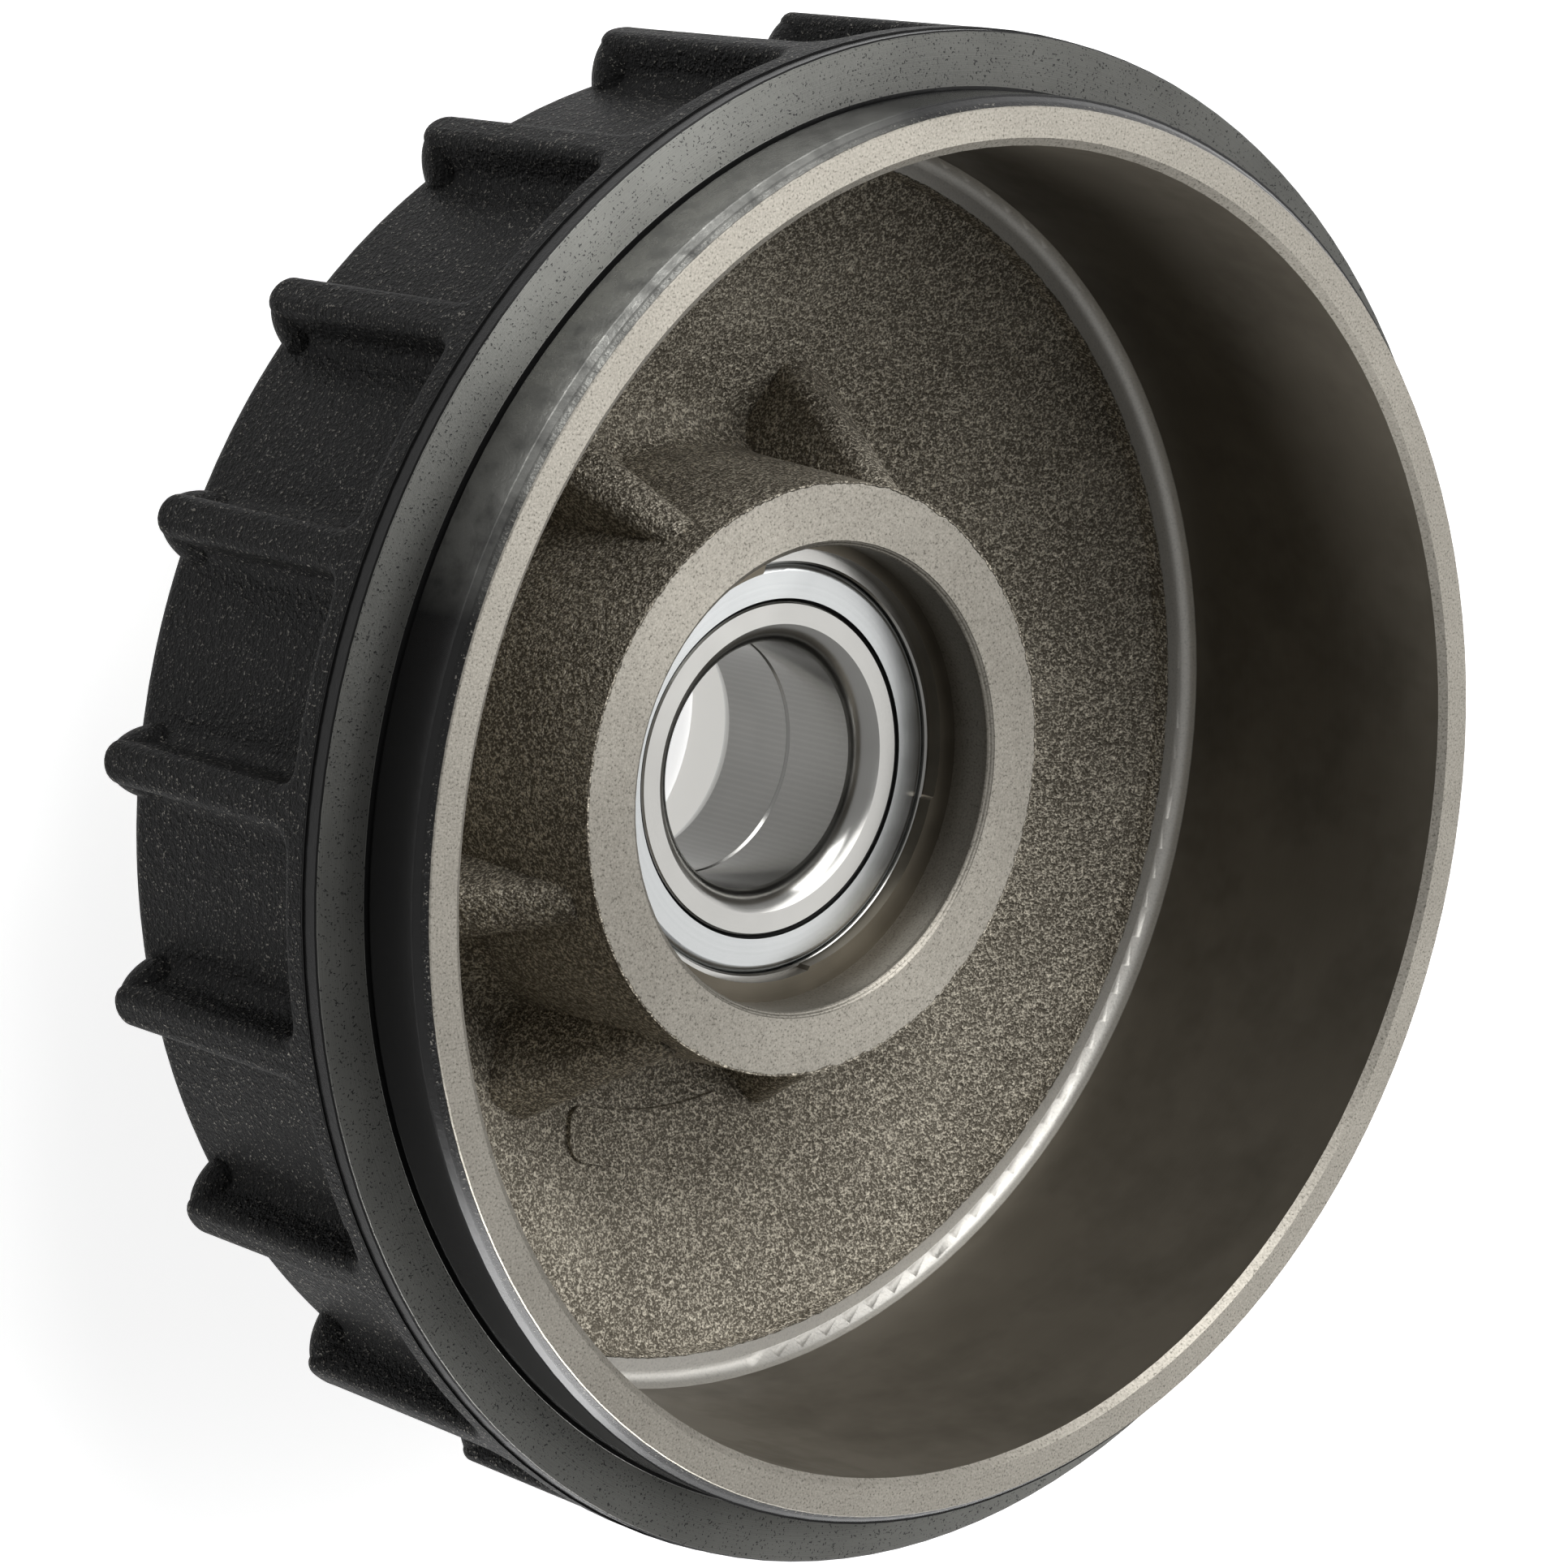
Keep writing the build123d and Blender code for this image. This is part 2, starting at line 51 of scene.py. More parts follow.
@dataclass(frozen=True)
class DrumSizes:
    """Where the finishes of the drum's surfaces meet, as radii and heights in millimetres.

    Each border lies a little beyond the surface that it holds. The entry marks are turned into the
    hub's mouth. jag is how far a turned edge wanders in the raw casting, and the last angle is the
    direction round which a painted highlight lies on the neck.
    """

    rim_face_low_z: float = 103.75
    rim_chamfer_low_z: float = 102.8
    rim_chamfer_r: float = 101.5
    rim_inner_r: float = 99.5
    brake_inner_r: float = 99.4
    brake_outer_r: float = 100.4
    brake_low_z: float = 49.1
    brake_high_z: float = 102.96
    neck_low_z: float = 92.3
    flange_low_z: float = 91.88
    flange_high_z: float = 92.15
    flange_inner_r: float = 107.85
    side_low_z: float = 89.1
    side_inner_r: float = 106.35
    floor_ring_low_z: float = 46.2
    floor_ring_high_z: float = 49.3
    floor_ring_inner_r: float = 95.6
    floor_ring_outer_r: float = 101.0
    raw_outer_r: float = 100.5
    web_slope: float = 0.394
    hub_base_r: float = 48.5
    under_web_z: float = 23.0
    hub_face_low_z: float = 65.15
    hub_face_r: float = 46.05
    hub_mouth_r: float = 37.3
    hub_mouth_high_z: float = 64.3
    bores_r: float = 37.35
    wheel_face_high_z: float = 10.2
    wheel_face_r: float = 74.6
    entry_low_z: float = 63.7
    entry_turns: float = 18.0
    cap_bore_r: float = 30.5
    bearing_low_z: float = 17.5
    bearing_bore_r: float = 19.52
    shine_inner_r: float = 95.0
    shine_high_z: float = 49.7
    jag: float = 2.2
    # direction round which the painted highlight lies on the neck
    neck_highlight_angle: float = math.radians(132.0)


class Wire:
    """A shader value with arithmetic, so that masks are written as plain expressions."""

    def __init__(self, graph: "Graph", socket: bpy.types.NodeSocket) -> None:
        """Wraps an output socket of a graph."""
        self.graph = graph
        self.socket = socket

    def __add__(self, other: "Value") -> "Wire":
        """Adds a value."""
        return self.graph.math("ADD", self, other)

    __radd__ = __add__

    def __sub__(self, other: "Value") -> "Wire":
        """Takes a value away."""
        return self.graph.math("SUBTRACT", self, other)

    def __rsub__(self, other: "Value") -> "Wire":
        """Takes this away from a value."""
        return self.graph.math("SUBTRACT", other, self)

    def __mul__(self, other: "Value") -> "Wire":
        """Multiplies by a value."""
        return self.graph.math("MULTIPLY", self, other)

    def __truediv__(self, other: "Value") -> "Wire":
        """Divides by a value."""
        return self.graph.math("DIVIDE", self, other)

    def above(self, edge: "Value", soft: float = EDGE_MM) -> "Wire":
        """Rises from 0 to 1 where this passes an edge, over a soft width."""
        return self.graph.clamp((self - edge) / soft + 0.5)

    def below(self, edge: "Value", soft: float = EDGE_MM) -> "Wire":
        """Falls from 1 to 0 where this passes an edge, over a soft width."""
        return 1.0 - self.above(edge, soft)

    def power(self, exponent: float) -> "Wire":
        """Raises this to a power."""
        return self.graph.math("POWER", self, exponent)


Value = Wire | float


class Graph:
    """The node tree of one material, with its coordinates in millimetres on the drum's axis."""

    def __init__(self, name: str) -> None:
        """Starts an empty tree with the object's own coordinates.

        Args:
            name: The material's name.
        """
        self.material = bpy.data.materials.new(name)
        self.material.use_nodes = True
        self.tree = self.material.node_tree
        self.tree.nodes.clear()
        place = self.node("ShaderNodeTexCoord").outputs["Object"]
        self.place = self.node(
            "ShaderNodeVectorMath", {"operation": "SCALE"}, {"Vector": place, "Scale": 1 / MM}
        ).outputs["Vector"]
        split = self.node("ShaderNodeSeparateXYZ", inputs={"Vector": self.place})
        self.x = Wire(self, split.outputs["X"])
        self.y = Wire(self, split.outputs["Y"])
        self.z = Wire(self, split.outputs["Z"])
        self.r = (self.x * self.x + self.y * self.y).power(0.5)

    def node(
        self,
        kind: str,
        settings: dict[str, object] | None = None,
        inputs: dict[str | int, object] | None = None,
    ) -> bpy.types.Node:
        """Adds a node.

        Args:
            kind: The node's type.
            settings: Its properties, set before its sockets.
            inputs: A value, a socket or a Wire for each named or numbered input.

        Returns:
            The new node.
        """
        made = self.tree.nodes.new(kind)
        for key, value in (settings or {}).items():
            setattr(made, key, value)
        for key, value in (inputs or {}).items():
            source = value.socket if isinstance(value, Wire) else value
            if isinstance(source, bpy.types.NodeSocket):
                self.tree.links.new(source, made.inputs[key])
            elif isinstance(source, tuple) and len(source) == 3:
                wide = len(made.inputs[key].default_value) == 4
                made.inputs[key].default_value = (*source, 1.0) if wide else source
            else:
                made.inputs[key].default_value = source
        return made

    def math(self, operation: str, *values: Value) -> Wire:
        """Adds a Math node on one to three values."""
        made = self.node("ShaderNodeMath", {"operation": operation}, dict(enumerate(values)))
        return Wire(self, made.outputs[0])

    def clamp(self, value: Value) -> Wire:
        """Keeps a value between 0 and 1."""
        return self.math("MAXIMUM", self.math("MINIMUM", value, 1.0), 0.0)

    def largest(self, *values: Value) -> Wire:
        """The largest of several values."""
        found = values[0]
        for value in values[1:]:
            found = self.math("MAXIMUM", found, value)
        return found

    def noise(
        self,
        size_mm: float,
        detail: float,
        roughness: float,
        place: bpy.types.NodeSocket | None = None,
    ) -> Wire:
        """Cloudy noise between 0 and 1.

        Args:
            size_mm: The size of its blobs.
            detail: How many finer layers it has.
            roughness: How strong the finer layers are.
            place: Where it is read, or None for the object's own coordinates.

        Returns:
            The noise.
        """
        made = self.node("ShaderNodeTexNoise", inputs={
            "Vector": place or self.place,
            "Scale": 1 / size_mm,
            "Detail": detail,
            "Roughness": roughness,
        })
        return Wire(self, made.outputs[0])

    def rings(self, size_mm: float, along: Wire | None = None) -> Wire:
        """Fine turning marks, noise that changes only with the radius or another value."""
        spot = self.node("ShaderNodeCombineXYZ", inputs={"X": self.r if along is None else along})
        return self.noise(size_mm, detail=3.0, roughness=0.7, place=spot.outputs[0])

    def colour(self, share: Value, low: Colour | Wire, high: Colour | Wire) -> Wire:
        """Mixes two colours."""
        made = self.node("ShaderNodeMix", {"data_type": "RGBA"}, {0: share, 6: low, 7: high})
        return Wire(self, made.outputs[2])

    def blend(self, share: Value, low: Value, high: Value) -> Wire:
        """Mixes two numbers."""
        made = self.node("ShaderNodeMix", {"data_type": "FLOAT"}, {0: share, 2: low, 3: high})
        return Wire(self, made.outputs[0])

    def bump(self, height_mm: Wire) -> Wire:
        """A normal from a height in millimetres."""
        made = self.node("ShaderNodeBump", inputs={"Strength": 1.0, "Distance": MM, "Height": height_mm})
        return Wire(self, made.outputs["Normal"])

    def shader(self, **sockets: object) -> Wire:
        """Adds a principled shader.

        Args:
            **sockets: Values for its inputs, with underscores for the spaces in their names.

        Returns:
            Its output.
        """
        names = {key.replace("_", " "): value for key, value in sockets.items()}
        return Wire(self, self.node("ShaderNodeBsdfPrincipled", inputs=names).outputs[0])

    def layer(self, share: Wire, under: Wire, over: Wire) -> Wire:
        """Lays one shader over another where a mask says so."""
        made = self.node("ShaderNodeMixShader", inputs={0: share, 1: under, 2: over})
        return Wire(self, made.outputs[0])

    def finish(self, surface: Wire) -> bpy.types.Material:
        """Closes the tree with its surface and gives the material."""
        self.node("ShaderNodeOutputMaterial", inputs={"Surface": surface})
        return self.material


@dataclass(frozen=True)
class CastingFinish:
    """Colours and gloss of the casting's finishes: black paint, cast iron and machined faces."""

    paint: Colour = (0.0095, 0.0095, 0.0095)
    # colour of the painted glints on the crests of the paint's grain
    paint_glint: Colour = (0.20, 0.19, 0.17)
    # colour of the painted highlight, in patches on one side of the neck
    neck_highlight_colour: Colour = (0.30, 0.30, 0.28)
    # painted shade in the cast grain's valleys and painted highlights on its crests, mottled by a random
    # tone
    cast_dark_valley_shade: Colour = (0.16, 0.142, 0.112)
    cast_light_crest_highlight: Colour = (0.90, 0.83, 0.69)
    machined_dark: Colour = (0.15, 0.139, 0.118)
    machined_light: Colour = (0.45, 0.424, 0.372)
    bored: Colour = (0.80, 0.79, 0.76)
    flange_dark: Colour = (0.03, 0.03, 0.03)
    flange_light: Colour = (0.23, 0.23, 0.213)
    brake_dark: Colour = (0.10, 0.089, 0.071)
    brake_light: Colour = (0.185, 0.167, 0.137)
    mouth_shade: float = 0.45
    ring_shine: float = 0.45
    paint_rough: float = 0.50
    side_gloss: float = 0.24
    cast_rough: float = 0.40
    machined_rough: float = 0.44
    brake_rough: float = 0.36
    smudge_rough: float = 0.12
    bored_rough: float = 0.16
    cast_metallic: float = 0.30
    # how metallic the painted highlight on the neck is
    neck_highlight_metallic: float = 0.8
    machined_metallic: float = 0.85
    brake_metallic: float = 0.47


@dataclass(frozen=True)
class Relief:
    """Heights of the casting's skin and turning marks in millimetres."""

    paint_grain: float = 0.50
    cast_grain: float = 0.95
    paint_fine: float = 0.20
    cast_fine: float = 0.34
    side_flat: float = 0.88
    swell: float = 0.12
    turned: float = 0.014
    turned_fine: float = 0.022
    entry: float = 0.02
    brake_turned: float = 0.006
    brake_fine: float = 0.003


class CastingMasks:
    """Where each finish of the casting lies, as masks between 0 and 1."""

    def __init__(self, g: Graph, sizes: DrumSizes) -> None:
        """Builds the masks.

        Args:
            g: The casting's graph.
            sizes: The drum's sizes.
        """
        self.g = g
        self.sizes = sizes
        self.jag = (g.noise(size_mm=1.6, detail=2.0, roughness=0.6) - 0.5) * sizes.jag
        self.machined = g.largest(
            self.rim(), self.floor_ring(), self.hub_face(), self.bores(), self.wheel_face()
        )
        self.flange = self.flange_face()
        self.brake = self.brake_surface()
        self.inside = self.raw_inside()
        self.bare = g.largest(self.machined, self.brake, self.flange)
        self.side = g.z.above(sizes.side_low_z, 0.2) * g.r.above(sizes.side_inner_r, 0.2)
        self.neck = self.rim_neck()
        # painted highlight on one side of the neck
        self.neck_highlight = self.painted_neck_highlight()
        self.hub_depth = g.r.below(sizes.hub_mouth_r, 0.3) * g.z.below(sizes.hub_mouth_high_z, 0.3)
        self.cap_bore = g.r.below(sizes.cap_bore_r) * g.z.below(sizes.bearing_low_z, 0.5)
        self.ring = g.r.above(sizes.shine_inner_r, 0.2) * g.z.below(sizes.shine_high_z, 0.3)
        self.entry = g.z.above(sizes.entry_low_z) * g.r.below(sizes.hub_mouth_r, 0.05)

    def rim(self) -> Wire:
        """The flat face of the mouth and its inner chamfer."""
        g, s = self.g, self.sizes
        chamfer = g.z.above(s.rim_chamfer_low_z) * g.r.below(s.rim_chamfer_r)
        return g.r.above(s.rim_inner_r) * g.largest(g.z.above(s.rim_face_low_z), chamfer)

    def floor_ring(self) -> Wire:
        """The narrow ring that the boring bar left where the brake surface meets the web."""
        g, s = self.g, self.sizes
        return (
            g.z.above(s.floor_ring_low_z, 0.3)
            * g.z.below(s.floor_ring_high_z, 0.3)
            * g.r.above(self.jag * 0.3 + s.floor_ring_inner_r, 0.15)
            * g.r.below(s.floor_ring_outer_r)
        )

    def hub_face(self) -> Wire:
        """The hub's turned face, with a ragged outer edge."""
        g, s = self.g, self.sizes
        return g.z.above(s.hub_face_low_z, 0.05) * g.r.below(self.jag * 0.5 + s.hub_face_r, 0.12)

    def bores(self) -> Wire:
        """The hub's bores and the spigot."""
        return self.g.r.below(self.sizes.bores_r)

    def wheel_face(self) -> Wire:
        """The turned face that carries the wheel."""
        g, s = self.g, self.sizes
        return g.z.below(s.wheel_face_high_z) * g.r.below(self.jag * 0.3 + s.wheel_face_r)

    def flange_face(self) -> Wire:
        """The turned face of the flange, thinly covered with paint."""
        g, s = self.g, self.sizes
        return g.z.above(s.flange_low_z, 0.05) * g.z.below(s.flange_high_z) * g.r.above(s.flange_inner_r)

    def brake_surface(self) -> Wire:
        """Where the brake shoes run."""
        g, s = self.g, self.sizes
        wall = g.r.above(s.brake_inner_r, 0.2) * g.r.below(s.brake_outer_r, 0.2)
        return wall * g.z.above(s.brake_low_z, 0.3) * g.z.below(s.brake_high_z, 0.05)

    def raw_inside(self) -> Wire:
        """The bare cast web, hub and gussets inside the drum."""
        g, s = self.g, self.sizes
        under_web = (g.r - s.hub_base_r) * s.web_slope + s.under_web_z
        return g.r.below(s.raw_outer_r, 0.2) * g.z.above(under_web, 1.0)

    def rim_neck(self) -> Wire:
        """The painted neck between the flange and the mouth's face."""
        g, s = self.g, self.sizes
        return g.z.above(s.neck_low_z, 0.2) * g.r.above(s.rim_chamfer_r, 0.2) * (1.0 - self.machined)

    def painted_neck_highlight(self) -> Wire:
        """A painted highlight on the neck, in cloudy patches round one direction."""
        g, s = self.g, self.sizes
        # painted highlight: the neck is lighter and more metallic on the side round one angle
        faced = (g.x * math.cos(s.neck_highlight_angle) + g.y * math.sin(s.neck_highlight_angle)) / g.r
        patches = g.noise(size_mm=5.0, detail=4.0, roughness=0.6).above(0.38, 0.45)
        return self.neck * faced.above(0.93, 0.12) * patches


class CastingMaterial:
    """The casting's material: patterns, their colours and their relief, laid out by masks."""

    def __init__(self, finish: CastingFinish, relief: Relief, sizes: DrumSizes) -> None:
        """Builds the patterns and masks.

        Args:
            finish: The colours and gloss.
            relief: The heights of the skin and marks.
            sizes: The drum's sizes.
        """
        g = Graph("painted_iron_casting")
        self.g = g
        self.finish = finish
        self.relief = relief
        self.sizes = sizes
        self.grain = g.noise(size_mm=0.85, detail=2.0, roughness=0.55)
        self.fine = g.noise(size_mm=0.36, detail=1.0, roughness=0.5)
        self.cloud = g.noise(size_mm=16.0, detail=3.0, roughness=0.55)
        self.smudge = g.noise(size_mm=30.0, detail=4.0, roughness=0.65).above(0.60, 0.25)
        self.turned = g.rings(0.30)
        self.turned_up = g.rings(0.40, g.z)
        self.masks = CastingMasks(g, sizes)

    def paint(self) -> Wire:
        """Black paint with painted glints on the crests of its grain and a painted highlight in patches on
        the neck.
        """
        g, f = self.g, self.finish
        # painted glints where the grain's crests meet the fine specks
        painted_glints = self.fine.above(0.64, 0.05) * self.grain.above(0.52) * (1.0 - self.masks.side)
        return g.colour(self.masks.neck_highlight, g.colour(painted_glints, f.paint, f.paint_glint), f.neck_highlight_colour)

    def cast(self) -> Wire:
        """Bare cast iron with painted highlights on the crests of its grain and painted shade in its
        valleys, in a random tone.
        """
        g, f = self.g, self.finish
        # painted highlights on the grain's crests and painted shade in its valleys
        lit_crests = (self.grain * 0.40 + self.fine * 0.60).above(0.55, 0.18) * 0.9
        return g.colour(g.clamp(lit_crests + (self.cloud - 0.5) * 0.4), f.cast_dark_valley_shade, f.cast_light_crest_highlight)

    def metal(self) -> Wire:
        """Turned iron with fine pores, brighter where it was bored."""
        g, f, masks = self.g, self.finish, self.masks
        pores = 1.0 - self.fine.below(0.33, 0.06)
        share = self.turned * 0.4 + self.fine * 0.9 + self.cloud * 0.35 - 0.3
        share = g.clamp(share * pores * (1.0 - masks.hub_depth * f.mouth_shade))
        turned = g.colour(share, f.machined_dark, f.machined_light)
        return g.colour(g.largest(masks.cap_bore, masks.ring * f.ring_shine), turned, f.bored)

    def thin_paint(self) -> Wire:
        """The film of paint on the flange's face, scraped by the turning marks."""
        g, f = self.g, self.finish
        share = g.rings(0.16) * 0.9 + self.cloud * 0.4 - 0.05
        share = g.clamp(share * (1.0 - self.fine.above(0.66, 0.04) * 0.9))
        return g.colour(share, f.flange_dark, f.flange_light)

    def shoe_track(self) -> Wire:
        """The dull bored brake surface with its smudges."""
        g, f = self.g, self.finish
        share = self.cloud * 0.8 + self.turned_up * 0.3 - self.smudge * 0.6
        return g.colour(g.clamp(share), f.brake_dark, f.brake_light)

    def colour(self, film: Wire) -> Wire:
        """Lays the colours out.

        Args:
            film: The colour of the flange's thin paint.

        Returns:
            The casting's colour.
        """
        g, masks = self.g, self.masks
        plain = g.colour(masks.inside, self.paint(), self.cast())
        faced = g.colour(masks.machined, g.colour(masks.flange, plain, film), self.metal())
        return g.colour(masks.brake, faced, self.shoe_track())

    def metallic(self) -> Wire:
        """How metallic each finish is."""
        g, f, masks = self.g, self.finish, self.masks
        # the painted highlight on the neck is also made more metallic
        raw = g.largest(masks.inside * f.cast_metallic, masks.neck_highlight * f.neck_highlight_metallic)
        return g.blend(masks.bare, raw, g.blend(masks.brake, f.machined_metallic, f.brake_metallic))

    def roughness(self) -> Wire:
        """How rough each finish is."""
        g, f, masks = self.g, self.finish, self.masks
        raw = g.blend(masks.inside, f.paint_rough - masks.side * f.side_gloss, f.cast_rough)
        turned = g.blend(masks.machined, raw, f.machined_rough)
        turned = g.blend(masks.brake, turned, f.brake_rough + self.smudge * f.smudge_rough)
        return g.blend(masks.cap_bore, turned, f.bored_rough)

    def normal(self) -> Wire:
        """The relief of the cast skin and the turning marks, in millimetres, as a normal."""
        g, masks, h = self.g, self.masks, self.relief
        skin = self.grain * g.blend(masks.inside, h.paint_grain, h.cast_grain)
        skin = skin + self.fine * g.blend(masks.inside, h.paint_fine, h.cast_fine)
        height = (1.0 - masks.bare) * (skin * (1.0 - masks.side * h.side_flat) + self.cloud * h.swell)
        turned = self.turned * h.turned + self.fine * h.turned_fine
        height = height + (masks.machined + masks.flange) * turned
        height = height + masks.entry * g.math("SINE", g.z * self.sizes.entry_turns) * h.entry
        return g.bump(height + masks.brake * (self.turned_up * h.brake_turned + self.fine * h.brake_fine))

    def build(self) -> bpy.types.Material:
        """Joins the iron with the finely grooved face of the flange.

        Returns:
            The material.
        """
        g, masks = self.g, self.masks
        film = self.thin_paint()
        normal = self.normal()
        iron = g.shader(
            Base_Color=self.colour(film),
            Metallic=self.metallic(),
            Roughness=self.roughness(),
            Specular_IOR_Level=0.06,
            Coat_Weight=(masks.side * 0.10 + masks.neck * 0.30) * (1.0 - masks.bare),
            Coat_Roughness=0.16,
            Anisotropic=0.5,
            Anisotropic_Rotation=QUARTER_TURN,
            Normal=normal,
        )
        grooved = g.shader(
            Base_Color=film,
            Metallic=0.95,
            Roughness=0.46,
            Specular_IOR_Level=0.10,
            Anisotropic=0.93,
            Anisotropic_Rotation=QUARTER_TURN,
            Normal=normal,
        )
        return g.finish(g.layer(masks.flange, iron, grooved))


@dataclass(frozen=True)
class SteelFinish:
    """Ground, pressed or phosphated steel with turning marks."""

    name: str
    dark: Colour
    light: Colour
    roughness: float
    metallic: float = 1.0
    mark_mm: float = 0.15
    mark_depth_mm: float = 0.002
    speck_depth_mm: float = 0.001
    bore_shade: float = 0.6
    sizes: DrumSizes = DrumSizes()

    def material(self) -> bpy.types.Material:
        """Builds the steel's material.

        Returns:
            The material.
        """
        g = Graph(self.name)
        marks = g.rings(self.mark_mm)
        marks_up = g.rings(self.mark_mm, g.z)
        speck = g.noise(size_mm=0.4, detail=2.0, roughness=0.6)
        cloud = g.noise(size_mm=9.0, detail=2.0, roughness=0.5)
        share = g.clamp(marks * 0.5 + cloud * 0.7 - 0.1)
        in_bore = g.r.below(self.sizes.bearing_bore_r)
        colour = g.colour(in_bore * self.bore_shade, g.colour(share, self.dark, self.light), BLACK)
        return g.finish(g.shader(
            Base_Color=colour,
            Metallic=self.metallic,
            Anisotropic=0.6,
            Anisotropic_Rotation=QUARTER_TURN,
            Roughness=g.clamp(self.roughness + (cloud - 0.5) * 0.12 + (speck - 0.5) * 0.06),
            Normal=g.bump((marks + marks_up) * self.mark_depth_mm + speck * self.speck_depth_mm),
        ))


@dataclass(frozen=True)
class SoftFinish:
    """Rubber or moulded plastic with a faint grain."""

    name: str
    dark: Colour
    light: Colour
    roughness: float

    def material(self) -> bpy.types.Material:
        """Builds the rubber's or plastic's material.

        Returns:
            The material.
        """
        g = Graph(self.name)
        grain = g.noise(size_mm=0.5, detail=3.0, roughness=0.6)
        cloud = g.noise(size_mm=6.0, detail=2.0, roughness=0.5)
        return g.finish(g.shader(
            Base_Color=g.colour(cloud, self.dark, self.light),
            Roughness=g.clamp(self.roughness + (grain - 0.5) * 0.2),
            Normal=g.bump(grain * 0.03),
        ))


class Finishes:
    """Makes each finish once and dresses the CAD nodes with it."""

    def __init__(self) -> None:
        """Builds all materials."""
        self.casting = CastingMaterial(CastingFinish(), Relief(), DrumSizes()).build()
        self.ground = SteelFinish(
            "ground_bearing_steel", (0.33, 0.325, 0.31), (0.46, 0.455, 0.435), 0.20
        ).material()
        self.sheet = SteelFinish(
            "bright_seal_sheet", (0.38, 0.39, 0.39), (0.50, 0.51, 0.51), 0.22, mark_mm=0.5
        ).material()
        self.spring = SteelFinish(
            "phosphated_spring_steel", (0.060, 0.052, 0.040), (0.15, 0.132, 0.102), 0.34, 0.9, mark_mm=0.4
        ).material()
        self.ball = SteelFinish(
            "polished_ball_steel", (0.62, 0.62, 0.62), (0.72, 0.72, 0.72), 0.08, mark_depth_mm=0.0
        ).material()
        self.rubber = SoftFinish("seal_rubber", (0.012, 0.012, 0.012), (0.03, 0.03, 0.03), 0.55).material()
        self.polymer = SoftFinish("cage_polymer", (0.55, 0.47, 0.30), (0.68, 0.60, 0.42), 0.45).material()

    def of_node(self, name: str) -> bpy.types.Material:
        """The finish of a CAD node, told by its name."""
        starts = {
            "drum_casting": self.casting,
            "retaining_ring": self.spring,
            "bearing_outer": self.ground,
            "inner_ring": self.ground,
            "seal_case": self.sheet,
            "seal_lip": self.rubber,
            "cage": self.polymer,
            "ball": self.ball,
        }
        return next(finish for start, finish in starts.items() if name.startswith(start))

    def dress(self, nodes: dict[str, bpy.types.Object]) -> None:
        """Gives every CAD node its finish."""
        for name, node in nodes.items():
            material = self.of_node(name)
            if not node.material_slots:
                node.data.materials.append(material)
            for slot in node.material_slots:
                slot.material = material
        LOG.info("dressed %d nodes", len(nodes))


@dataclass(frozen=True)
class PhotoCamera:
    """The photograph's camera, found by fitting the drum's circles to it."""

    focal_px: float = 6353.6
    image_px: float = 1932.0
    sensor_mm: float = 36.0
    azimuth: float = math.radians(42.31)
    elevation: float = math.radians(9.292)
    roll: float = math.radians(-3.703)
    offset_mm: tuple[float, float, float] = (31.25, -5.81, -765.08)
    mouth_z_mm: float = 104.0
    far_end: float = 20.0

    def build(self) -> None:
        """Adds the camera and makes it the scene's."""
        turn = (
            Matrix.Rotation(self.roll, 3, "Z")
            @ Matrix.Rotation(self.elevation, 3, "X")
            @ Matrix.Rotation(self.azimuth, 3, "Y")
        )
        back = turn.transposed()
        place = -(back @ Vector(self.offset_mm)) + Vector((0, 0, self.mouth_z_mm))
        data = bpy.data.cameras.new("photo_camera")
        data.sensor_width = self.sensor_mm
        data.lens = self.focal_px / self.image_px * self.sensor_mm
        data.clip_end = self.far_end
        camera = bpy.data.objects.new("photo_camera", data)
        bpy.context.scene.collection.objects.link(camera)
        camera.matrix_world = Matrix.LocRotScale(place * MM, back.to_quaternion(), None)
        bpy.context.scene.camera = camera


@dataclass(frozen=True)
class Lamp:
    """A soft box that points at the drum."""

    name: str
    place: tuple[float, float, float]
    size: tuple[float, float]
    watts: float

    def build(self, target: Vector) -> None:
        """Adds the lamp, turned to a target point."""
        data = bpy.data.lights.new(self.name, "AREA")
        data.shape = "RECTANGLE"
        data.size, data.size_y = self.size
        data.energy = self.watts
        lamp = bpy.data.objects.new(self.name, data)
        bpy.context.scene.collection.objects.link(lamp)
        lamp.location = self.place
        lamp.rotation_euler = (target - Vector(self.place)).to_track_quat("-Z", "Y").to_euler()


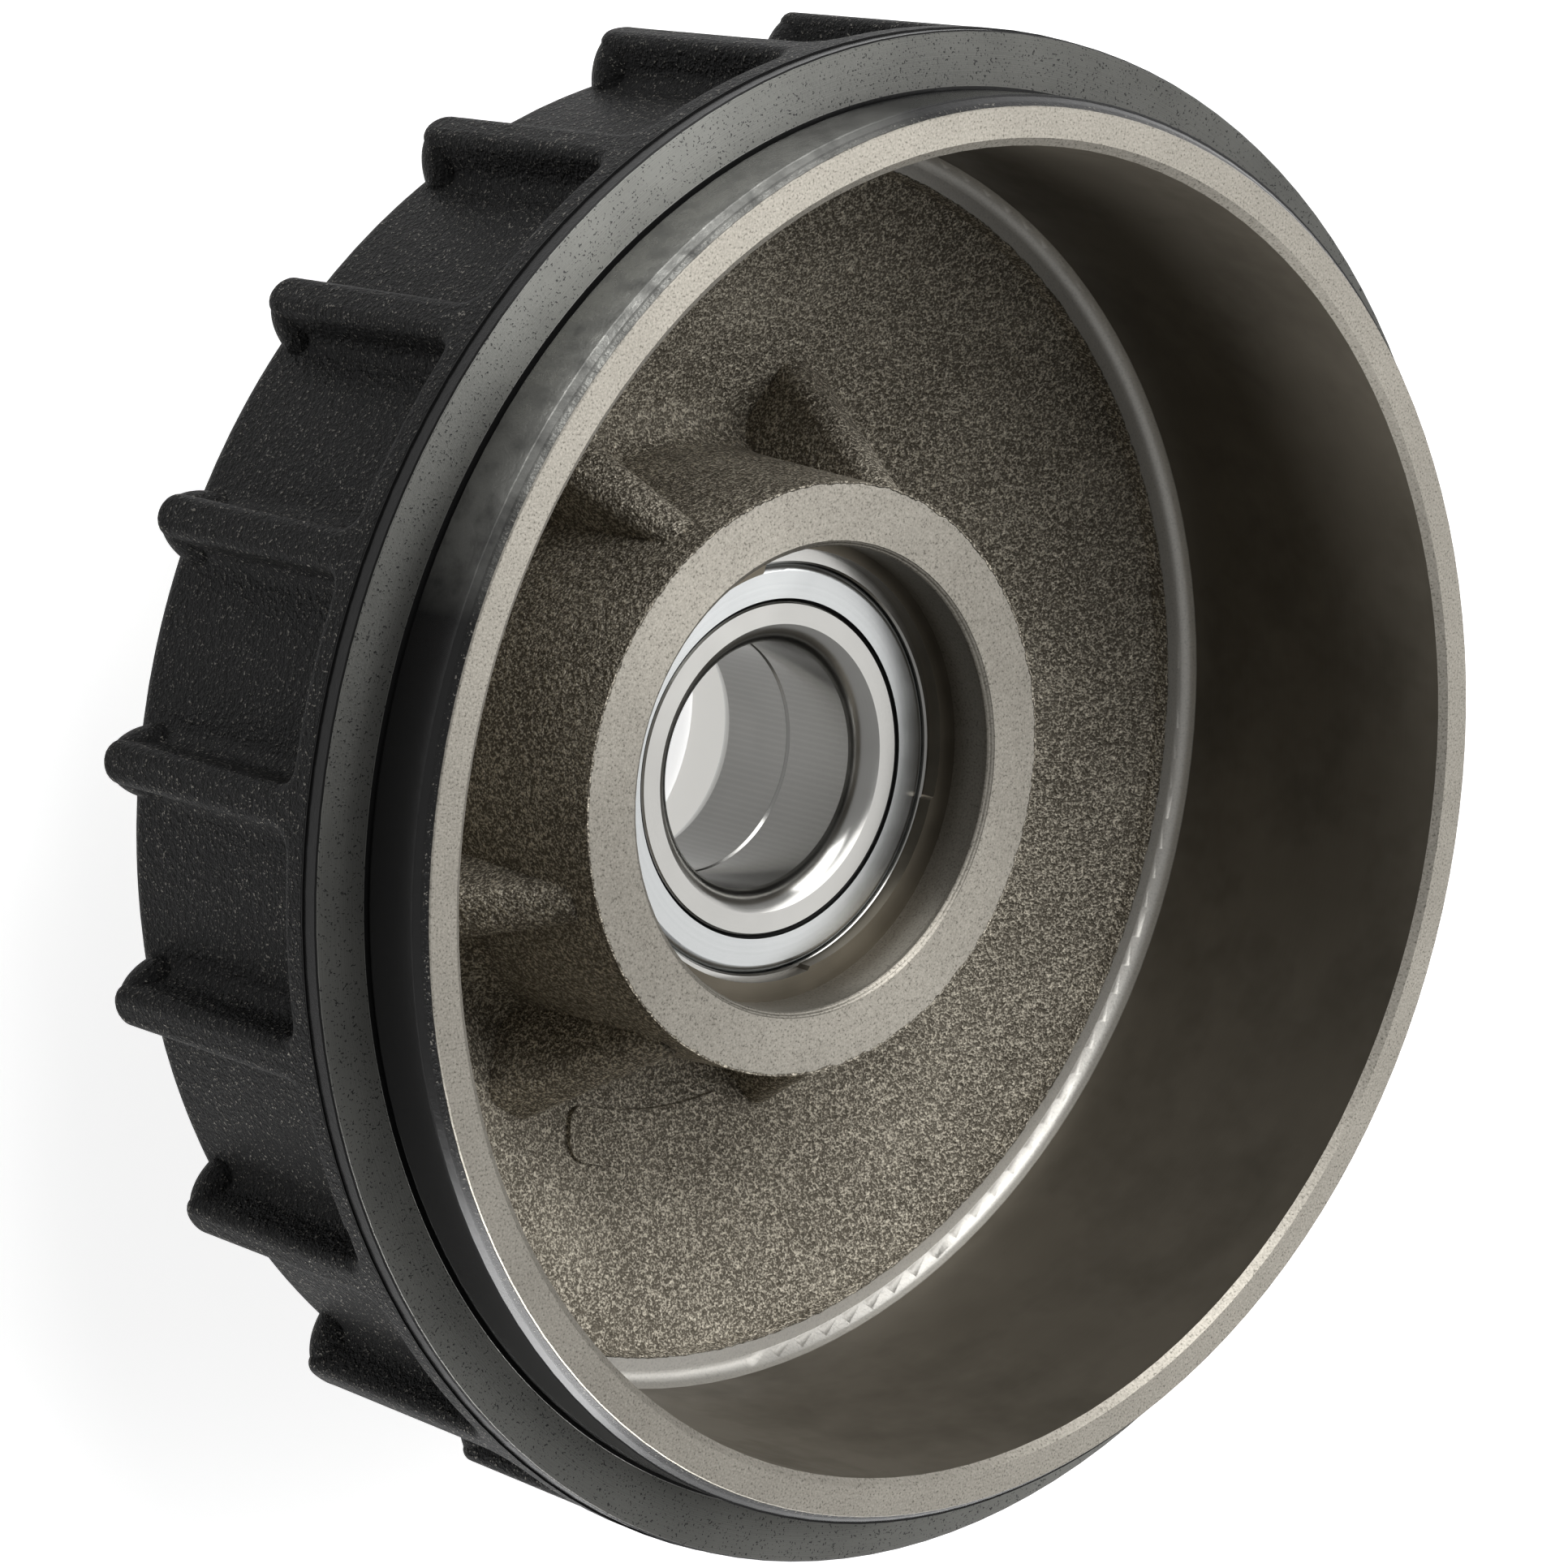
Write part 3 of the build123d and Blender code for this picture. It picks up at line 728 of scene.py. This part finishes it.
@dataclass(frozen=True)
class Studio:
    """A pale floor, a plain bright world and soft boxes."""

    floor_size: float = 6.0
    floor_colour: Colour = (0.80, 0.80, 0.80)
    floor_roughness: float = 0.9
    floor_glow: float = 0.72
    world_light: float = 0.06
    world_seen: float = 1.0
    ceiling_seen: float = 0.42
    ceiling_start: float = 0.12
    ceiling_soft: float = 0.30
    lamps: tuple[Lamp, ...] = (
        Lamp("front_box", (0.50, 0.35, 1.25), (0.9, 0.9), 7.0),
        Lamp("right_box", (1.05, -0.05, 0.95), (0.9, 0.9), 2.8),
        Lamp("top_box", (-0.05, 1.05, 0.85), (1.0, 0.9), 13.0),
        Lamp("low_box", (-0.35, -1.15, 0.16), (1.3, 0.28), 20.0),
    )

    def build(self) -> None:
        """Adds the floor, the world and the lamps."""
        low, high = (Vector(corner) for corner in cad_bounds)
        bpy.ops.mesh.primitive_plane_add(size=self.floor_size, location=(0, 0, low.z))
        floor = bpy.context.active_object
        floor.name = "studio_floor"
        floor.data.materials.append(self.floor_material())
        self.world()
        for lamp in self.lamps:
            lamp.build((low + high) / 2)

    @staticmethod
    def seen_share(tree: bpy.types.NodeTree) -> bpy.types.NodeSocket:
        """1 for a ray from the camera, a mirror or glass, which see the pale background."""
        path = tree.nodes.new("ShaderNodeLightPath")
        total = path.outputs["Is Camera Ray"]
        for name in ("Is Glossy Ray", "Is Transmission Ray"):
            add = tree.nodes.new("ShaderNodeMath")
            add.operation = "MAXIMUM"
            tree.links.new(total, add.inputs[0])
            tree.links.new(path.outputs[name], add.inputs[1])
            total = add.outputs[0]
        return total

    def floor_material(self) -> bpy.types.Material:
        """A matt pale floor that glows a little where it is seen."""
        material = bpy.data.materials.new("pale_floor")
        material.use_nodes = True
        tree = material.node_tree
        shader = tree.nodes["Principled BSDF"]
        shader.inputs["Base Color"].default_value = (*self.floor_colour, 1.0)
        shader.inputs["Roughness"].default_value = self.floor_roughness
        shader.inputs["Specular IOR Level"].default_value = 0.0
        glow = tree.nodes.new("ShaderNodeEmission")
        glow.inputs["Strength"].default_value = self.floor_glow
        none = tree.nodes.new("ShaderNodeEmission")
        none.inputs["Strength"].default_value = 0.0
        choose = tree.nodes.new("ShaderNodeMixShader")
        tree.links.new(self.seen_share(tree), choose.inputs[0])
        tree.links.new(none.outputs[0], choose.inputs[1])
        tree.links.new(glow.outputs[0], choose.inputs[2])
        both = tree.nodes.new("ShaderNodeAddShader")
        tree.links.new(shader.outputs[0], both.inputs[0])
        tree.links.new(choose.outputs[0], both.inputs[1])
        tree.links.new(both.outputs[0], tree.nodes["Material Output"].inputs["Surface"])
        return material

    def world(self) -> None:
        """A plain world, white where it is seen, with a darker ceiling over the soft boxes."""
        world = bpy.data.worlds.new("studio_world")
        bpy.context.scene.world = world
        world.use_nodes = True
        tree = world.node_tree
        sky = tree.nodes["Background"]
        way = tree.nodes.new("ShaderNodeTexCoord")
        split = tree.nodes.new("ShaderNodeSeparateXYZ")
        tree.links.new(way.outputs["Generated"], split.inputs[0])
        rise = tree.nodes.new("ShaderNodeMapRange")
        rise.inputs["From Min"].default_value = self.ceiling_start
        rise.inputs["From Max"].default_value = self.ceiling_start + self.ceiling_soft
        rise.inputs["To Min"].default_value = self.world_seen
        rise.inputs["To Max"].default_value = self.ceiling_seen
        tree.links.new(split.outputs["Z"], rise.inputs["Value"])
        mix = tree.nodes.new("ShaderNodeMix")
        mix.data_type = "FLOAT"
        tree.links.new(self.seen_share(tree), mix.inputs[0])
        mix.inputs[2].default_value = self.world_light
        tree.links.new(rise.outputs[0], mix.inputs[3])
        sky.inputs["Color"].default_value = (1.0, 1.0, 1.0, 1.0)
        tree.links.new(mix.outputs[0], sky.inputs["Strength"])


def main() -> None:
    """Builds the looks in order."""
    logging.basicConfig(level=logging.INFO, format="%(name)s: %(message)s")
    bpy.ops.object.select_all(action="DESELECT")
    bpy.context.scene.view_settings.view_transform = "Standard"
    PhotoCamera().build()
    Finishes().dress(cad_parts)
    Studio().build()


if __name__ == "__main__":
    main()
